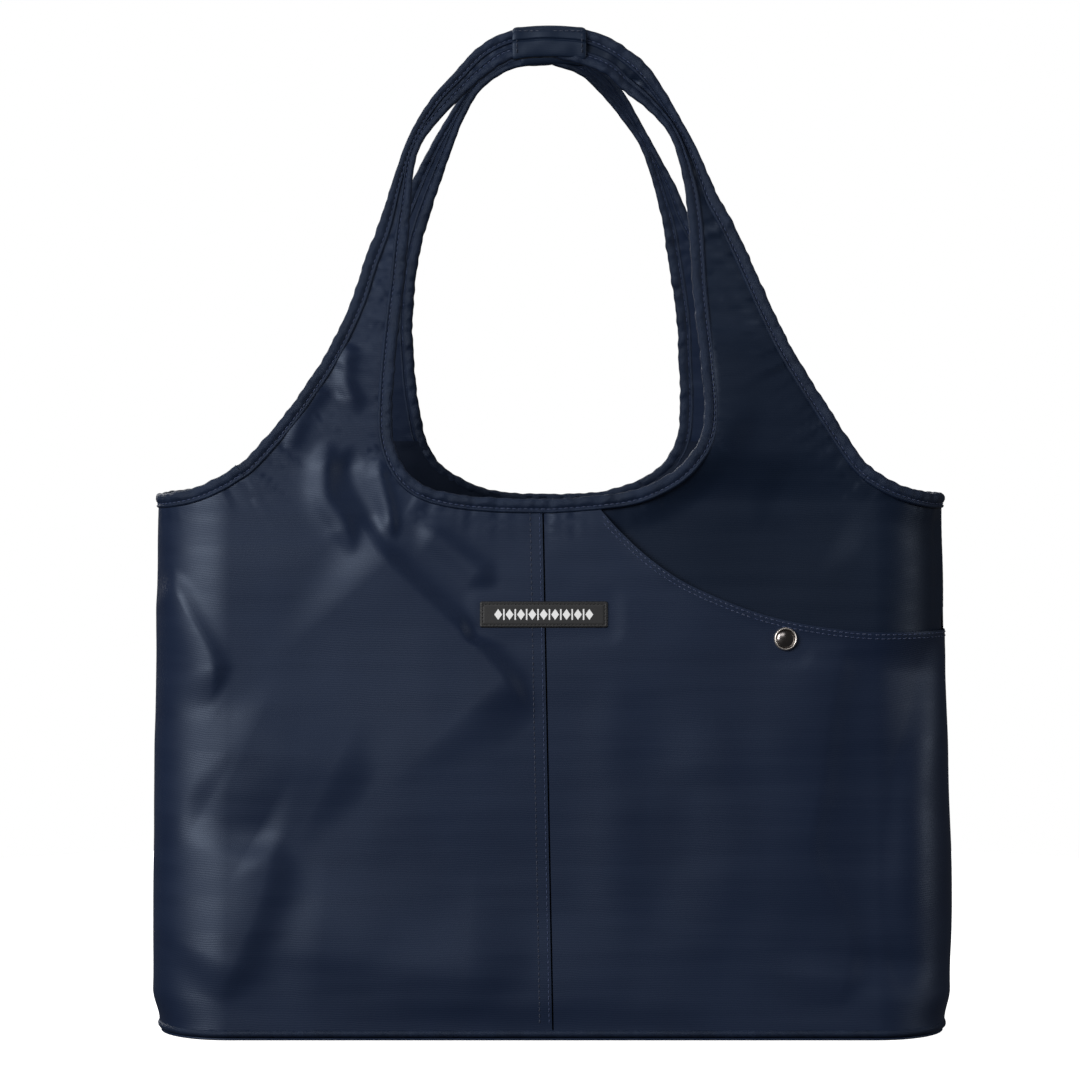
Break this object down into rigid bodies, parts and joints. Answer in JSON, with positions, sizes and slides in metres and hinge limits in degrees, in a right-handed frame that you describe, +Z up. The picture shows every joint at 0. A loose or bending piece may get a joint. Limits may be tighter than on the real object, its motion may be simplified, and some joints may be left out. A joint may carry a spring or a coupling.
{
  "type": "foldable tote bag",
  "caption": "Foldable fabric tote bag with rounded gussets, a bound wide-arm handle on each side, a patch label and a slip pocket closed by a snap.",
  "frame": {"origin": "middle of the base on the ground", "axes": "+Z up, -Y is the front with the label and the pocket, +X to the right of someone who looks at the front"},
  "size_m": [0.4276, 0.1556, 0.5442],
  "materials": {
    "shell_fabric": "navy coated nylon, fine cross ribs, soft satin sheen",
    "binding_tape": "navy folded binding tape, topstitched, puckered",
    "lining_fabric": "dark navy plain woven lining",
    "snap_metal": "polished gunmetal-coloured steel",
    "label_rubber": "matt black soft rubber",
    "base_board": "plain stiffening board"
  },
  "bodies": {
    "back": {"back_panel": "shell_fabric", "back_lining": "lining_fabric", "back_neck_binding": "binding_tape", "back_left_armhole_binding": "binding_tape", "back_right_armhole_binding": "binding_tape", "left_gusset": "shell_fabric", "right_gusset": "shell_fabric", "left_gusset_lining": "lining_fabric", "right_gusset_lining": "lining_fabric", "left_rim_binding": "binding_tape", "right_rim_binding": "binding_tape", "base_panel": "shell_fabric", "base_piping": "binding_tape", "base_board": "base_board", "base_lining": "lining_fabric"},
    "front": {"front_left_panel": "shell_fabric", "front_right_panel": "shell_fabric", "front_lining": "lining_fabric", "pocket_lower_panel": "shell_fabric", "snap_stud": "snap_metal", "snap_post": "snap_metal", "label_patch": "label_rubber", "front_neck_binding": "binding_tape", "front_left_armhole_binding": "binding_tape", "front_right_armhole_binding": "binding_tape"},
    "pocket_right": {"pocket_right_flap": "shell_fabric", "snap_cap": "snap_metal", "snap_socket": "snap_metal"},
    "pocket_left": {"pocket_left_flap": "shell_fabric"},
    "front_handle": {"front_left_arm": "shell_fabric", "front_left_facing": "shell_fabric", "front_left_outer_binding": "binding_tape", "front_left_inner_binding": "binding_tape", "front_right_arm": "shell_fabric", "front_right_facing": "shell_fabric", "front_right_outer_binding": "binding_tape", "front_right_inner_binding": "binding_tape", "front_handle_wrap": "shell_fabric"},
    "back_handle": {"back_left_arm": "shell_fabric", "back_left_facing": "shell_fabric", "back_left_outer_binding": "binding_tape", "back_left_inner_binding": "binding_tape", "back_right_arm": "shell_fabric", "back_right_facing": "shell_fabric", "back_right_outer_binding": "binding_tape", "back_right_inner_binding": "binding_tape", "back_handle_wrap": "shell_fabric"}
  },
  "joints": [
    {"name": "fold_flat", "type": "hinge", "parent": "back", "child": "front", "pos_m": [0, 0, 0.77], "axis": [1, 0, 0], "range_deg": [0, 9.2], "deforming": ["left_gusset", "right_gusset", "left_gusset_lining", "right_gusset_lining", "left_rim_binding", "right_rim_binding", "base_panel", "base_piping", "base_board", "base_lining"]},
    {"name": "pocket_open", "type": "hinge", "parent": "front", "child": "pocket_right", "pos_m": [0.1727, -0.05535, 0.2165], "axis": [0.4849, 0.087, 0.8702], "range_deg": [0, 13]},
    {"name": "pocket_open_left", "type": "hinge", "parent": "front", "child": "pocket_left", "pos_m": [0.027, -0.0489, 0.281], "axis": [0.3851, -0.0918, -0.9183], "range_deg": [0, 15.4]},
    {"name": "front_handle_fold", "type": "hinge", "parent": "front", "child": "front_handle", "pos_m": [0, -0.0438, 0.3401], "axis": [1, 0, 0], "range_deg": [0, 170]},
    {"name": "back_handle_fold", "type": "hinge", "parent": "back", "child": "back_handle", "pos_m": [0, 0.0438, 0.3401], "axis": [-1, 0, 0], "range_deg": [0, 170]}
  ],
  "couplings": [
    {"joint": "pocket_open_left", "follows": "pocket_open", "ratio": 1.1828}
  ]
}
